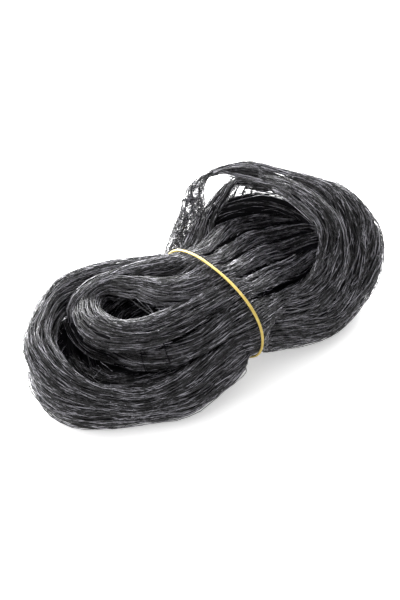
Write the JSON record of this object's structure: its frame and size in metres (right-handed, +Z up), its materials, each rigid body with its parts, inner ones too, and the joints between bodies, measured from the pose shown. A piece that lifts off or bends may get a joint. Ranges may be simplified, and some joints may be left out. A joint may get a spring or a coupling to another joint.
{
  "type": "bird netting hank",
  "caption": "Hank of black knotted bird netting wound in soft turns, pinched at its waist by a rubber band, with a hooded open lobe and a low coiled lobe.",
  "frame": {"origin": "centre of the footprint, on the floor that the hank lies on", "axes": "+X along the hank, from the low coiled lobe to the hooded lobe; +Y to the side of the hood's raised leg; +Z up"},
  "size_m": [0.2238, 0.1078, 0.0684],
  "materials": {
    "black_net": "slightly glossy black nylon net twine",
    "yellow_rubber": "smooth translucent amber yellow rubber"
  },
  "bodies": {
    "root": {"net_hank": "black_net", "rubber_band": "yellow_rubber"}
  },
  "joints": []
}
